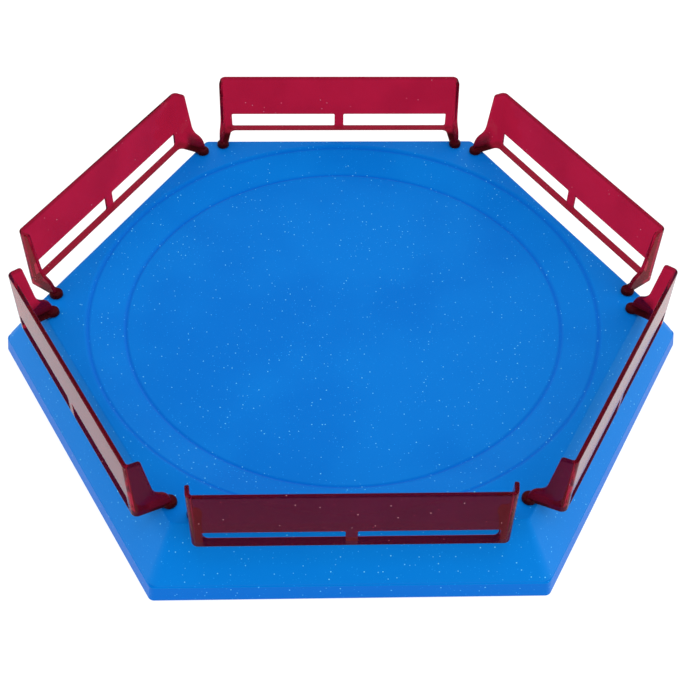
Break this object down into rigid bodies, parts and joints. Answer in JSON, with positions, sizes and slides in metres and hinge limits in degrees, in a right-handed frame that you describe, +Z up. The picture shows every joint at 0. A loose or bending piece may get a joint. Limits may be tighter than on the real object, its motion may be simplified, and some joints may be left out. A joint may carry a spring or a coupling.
{
  "type": "spinning top battle arena",
  "caption": "Shallow six-sided tray with a round dish for battling spinning tops, fenced by lift-off clear guard rails.",
  "frame": {"origin": "on the ground under the middle of the tray", "axes": "+Z up; the tray's corners lie on +X and -X, and its front side faces -Y"},
  "size_m": [0.3604, 0.313, 0.07],
  "materials": {
    "tray_blue": "glossy translucent blue moulding with fine silver glitter",
    "rail_crimson": "glossy clear crimson moulding"
  },
  "bodies": {
    "tray": {"arena_tray": "tray_blue"},
    "rail_front": {"guard_rail_front": "rail_crimson"},
    "rail_front_right": {"guard_rail_front_right": "rail_crimson"},
    "rail_back_right": {"guard_rail_back_right": "rail_crimson"},
    "rail_back": {"guard_rail_back": "rail_crimson"},
    "rail_back_left": {"guard_rail_back_left": "rail_crimson"},
    "rail_front_left": {"guard_rail_front_left": "rail_crimson"}
  },
  "joints": [
    {"name": "rail_front_lift", "type": "slide", "parent": "tray", "child": "rail_front", "axis": [0, 0, 1], "range_m": [0, 0.04]},
    {"name": "rail_front_right_lift", "type": "slide", "parent": "tray", "child": "rail_front_right", "axis": [0, 0, 1], "range_m": [0, 0.04]},
    {"name": "rail_back_right_lift", "type": "slide", "parent": "tray", "child": "rail_back_right", "axis": [0, 0, 1], "range_m": [0, 0.04]},
    {"name": "rail_back_lift", "type": "slide", "parent": "tray", "child": "rail_back", "axis": [0, 0, 1], "range_m": [0, 0.04]},
    {"name": "rail_back_left_lift", "type": "slide", "parent": "tray", "child": "rail_back_left", "axis": [0, 0, 1], "range_m": [0, 0.04]},
    {"name": "rail_front_left_lift", "type": "slide", "parent": "tray", "child": "rail_front_left", "axis": [0, 0, 1], "range_m": [0, 0.04]}
  ]
}
